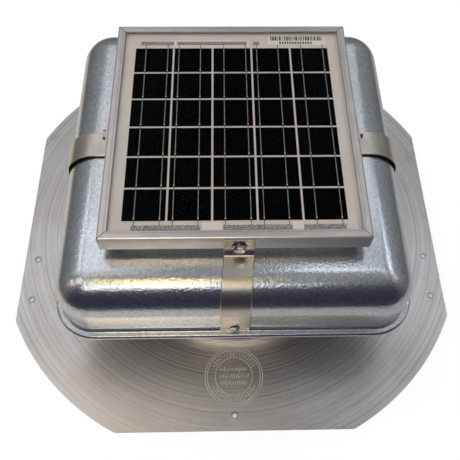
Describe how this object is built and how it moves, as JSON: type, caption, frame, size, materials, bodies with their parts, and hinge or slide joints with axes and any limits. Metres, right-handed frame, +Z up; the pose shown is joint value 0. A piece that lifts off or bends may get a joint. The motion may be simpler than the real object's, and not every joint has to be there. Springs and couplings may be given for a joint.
{
  "type": "solar attic fan",
  "caption": "Roof ventilator: square drawn hood on a spun flashing, solar panel held over it by straps, and a motor-driven fan in the throat.",
  "frame": {"origin": "centre of the flange's underside, on the roof deck", "axes": "+Z up through the throat and fan, -Y towards the front edge with the single nail hole, +X to the right"},
  "size_m": [0.66, 0.66, 0.266],
  "materials": {
    "spun_aluminium": "spun, concentric tool rings, satin",
    "galvanised": "hot-dip galvanised, fine spangle, semi-gloss",
    "zinc_strap": "zinc plated, warm yellow-grey, satin",
    "bolt_steel": "bright zinc plated",
    "anodised": "clear anodised extrusion, satin",
    "solar_glass": "lightly textured tempered glass",
    "cell_silicon": "near-black monocrystalline silicon with silver ribbons",
    "backsheet": "warm light grey film, matt",
    "black_plastic": "moulded, fine texture",
    "rubber": "matt black",
    "motor_paint": "black powder coat",
    "magnet_steel": "dark ground steel",
    "circuit_board": "solder mask",
    "blade_aluminium": "mill finish sheet"
  },
  "bodies": {
    "housing": {"base_flashing": "spun_aluminium", "hood": "galvanised", "insect_screen": "galvanised", "motor_bracket": "galvanised", "hood_bracket_front": "galvanised", "hood_bracket_right": "galvanised", "hood_bracket_back": "galvanised", "hood_bracket_left": "galvanised", "panel_strap_front": "zinc_strap", "panel_strap_right": "zinc_strap", "panel_strap_back": "zinc_strap", "panel_strap_left": "zinc_strap", "panel_bolt_front": "bolt_steel", "panel_bolt_right": "bolt_steel", "panel_bolt_back": "bolt_steel", "panel_bolt_left": "bolt_steel", "panel_nut_front": "bolt_steel", "panel_nut_right": "bolt_steel", "panel_nut_back": "bolt_steel", "panel_nut_left": "bolt_steel", "strap_screw_front": "bolt_steel", "strap_screw_right": "bolt_steel", "strap_screw_back": "bolt_steel", "strap_screw_left": "bolt_steel", "motor_screw_1": "bolt_steel", "motor_screw_2": "bolt_steel", "rear_bearing": "bolt_steel", "front_bearing": "bolt_steel", "panel_frame_front": "anodised", "panel_frame_right": "anodised", "panel_frame_back": "anodised", "panel_frame_left": "anodised", "panel_glass": "solar_glass", "cell_string_1": "cell_silicon", "cell_string_2": "cell_silicon", "cell_string_3": "cell_silicon", "cell_string_4": "cell_silicon", "cell_string_5": "cell_silicon", "panel_backsheet": "backsheet", "junction_box": "black_plastic", "junction_box_lid": "black_plastic", "cable_gland": "black_plastic", "motor_lead": "rubber", "grommet": "rubber", "motor_can": "motor_paint", "motor_end_cap": "motor_paint", "stator": "magnet_steel", "controller_board": "circuit_board"},
    "rotor": {"motor_shaft": "bolt_steel", "rotor_magnet": "magnet_steel", "fan_hub": "bolt_steel", "set_screw": "bolt_steel", "fan_blade_1": "blade_aluminium", "fan_blade_2": "blade_aluminium", "fan_blade_3": "blade_aluminium", "fan_blade_4": "blade_aluminium", "fan_blade_5": "blade_aluminium"}
  },
  "joints": [
    {"name": "fan_spin", "type": "hinge", "parent": "housing", "child": "rotor", "pos_m": [0, 0, 0.078], "axis": [0, 0, 1], "continuous": true}
  ]
}
